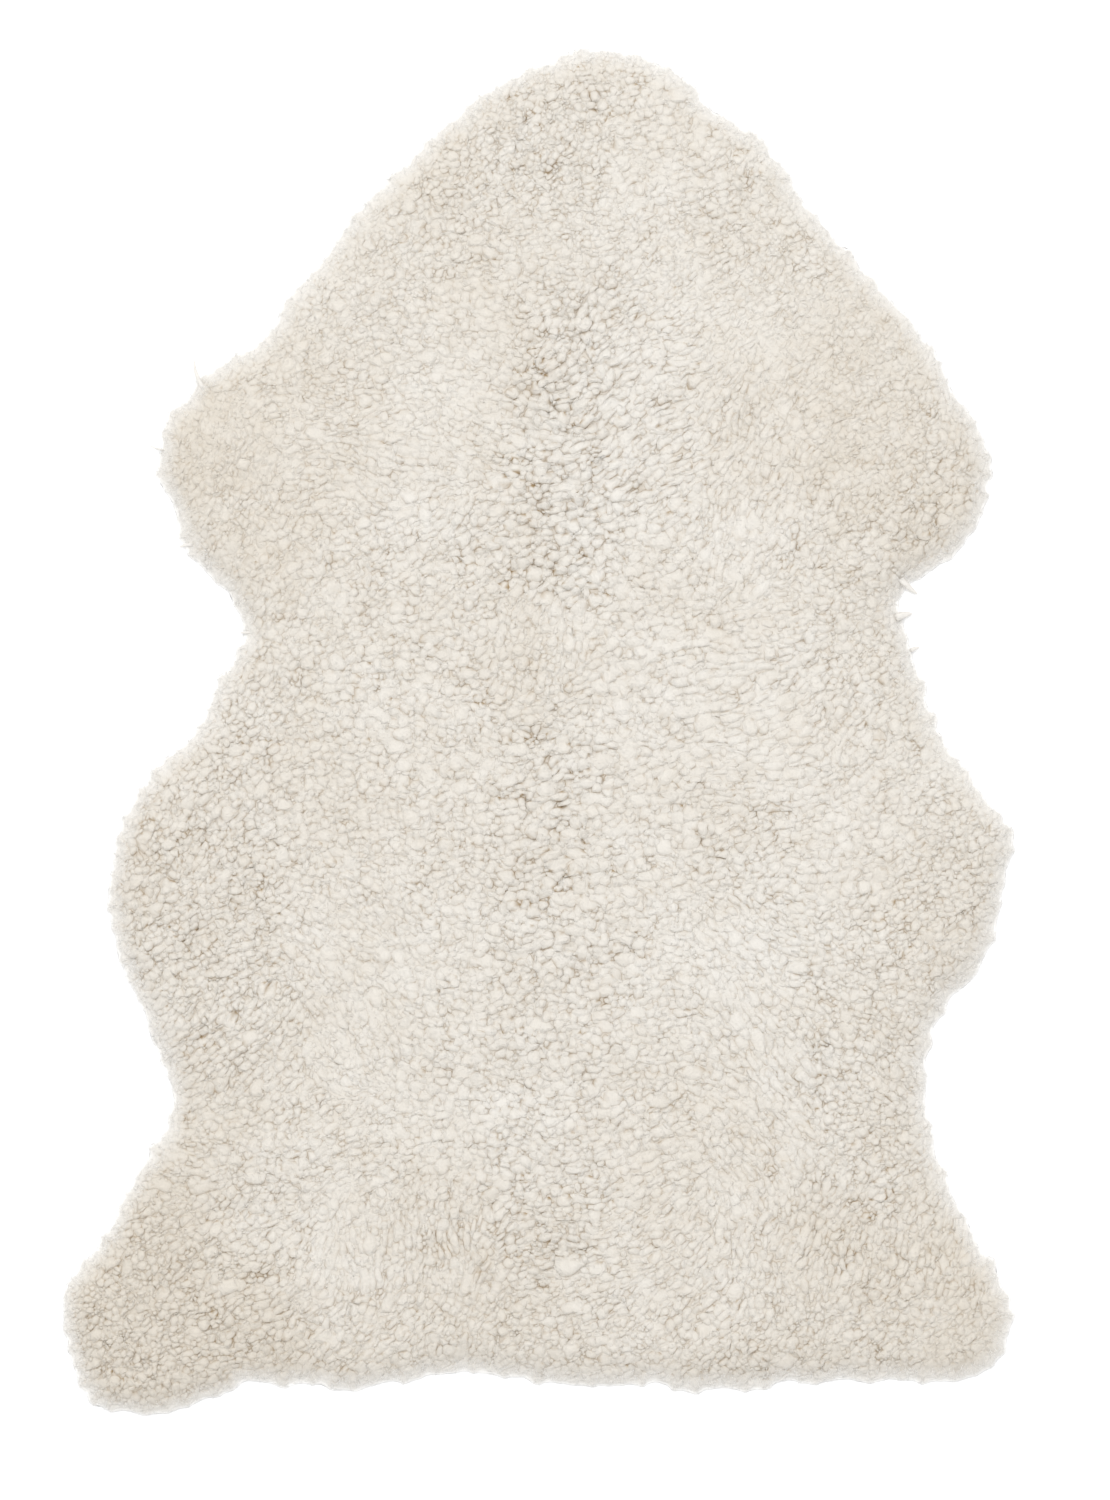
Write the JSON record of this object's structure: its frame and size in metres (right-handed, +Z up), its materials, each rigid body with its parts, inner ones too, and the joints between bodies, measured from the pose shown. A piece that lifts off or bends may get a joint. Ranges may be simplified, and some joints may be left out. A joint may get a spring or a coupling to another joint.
{
  "type": "sheepskin rug",
  "caption": "Flat rug of one whole sheepskin with short, dense, curly ivory wool, a rounded neck, waisted flanks and two flared hind legs at a nearly straight tail edge.",
  "frame": {"origin": "on the floor, under the middle of the rug's bounding box", "axes": "+Y from the tail to the neck, +X to the right seen from above with the neck away, +Z up out of the wool"},
  "size_m": [0.6666, 0.9578, 0.0244],
  "materials": {
    "wool": "matte curly wool",
    "hide": "suede underside"
  },
  "bodies": {
    "root": {"sheepskin": "wool"}
  },
  "joints": []
}
